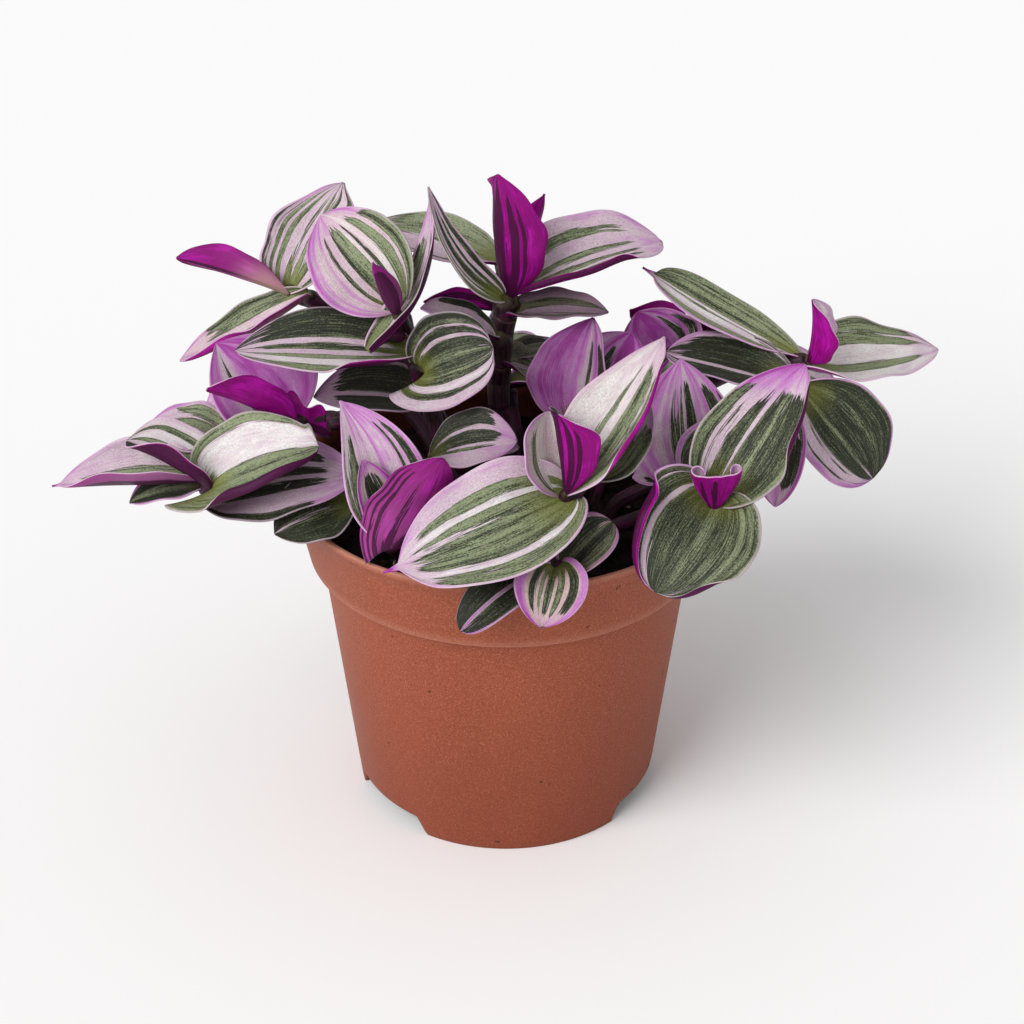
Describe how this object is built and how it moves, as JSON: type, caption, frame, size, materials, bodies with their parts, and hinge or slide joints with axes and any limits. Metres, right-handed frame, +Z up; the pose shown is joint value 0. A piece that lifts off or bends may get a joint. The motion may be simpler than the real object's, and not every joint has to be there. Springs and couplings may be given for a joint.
{
  "type": "potted tradescantia",
  "caption": "Trailing house plant with pointed pink, cream and green striped leaves, purple underneath, in a round plastic nursery pot with a raised foot.",
  "frame": {"origin": "on the surface that the pot stands on, under the pot's axis, which is the middle of the box to within its tolerance", "axes": "+Z up along the pot's axis, -Y towards the front of the picture, +X to the viewer's right, the way that the plant spreads widest"},
  "size_m": [0.2464, 0.1431, 0.1847],
  "materials": {
    "pot_plastic": "matt moulded terracotta brown plastic, a little speckled",
    "potting_soil": "dark, damp, crumbly potting soil",
    "foliage": "soft satin leaf skin, striped pink, cream and green above and purple below"
  },
  "bodies": {
    "root": {"pot": "pot_plastic", "soil": "potting_soil", "stem_left_front": "foliage", "stem_left": "foliage", "stem_left_high": "foliage", "stem_centre_left": "foliage", "stem_centre_tall": "foliage", "stem_centre_right": "foliage", "stem_right_behind": "foliage", "stem_right": "foliage", "stem_right_inner": "foliage", "stem_front_centre": "foliage", "stem_front_right": "foliage", "stem_over_rim": "foliage", "stem_front_left": "foliage", "stem_centre_low": "foliage", "stem_back_left": "foliage", "stem_back": "foliage", "stem_back_right": "foliage"}
  },
  "joints": []
}
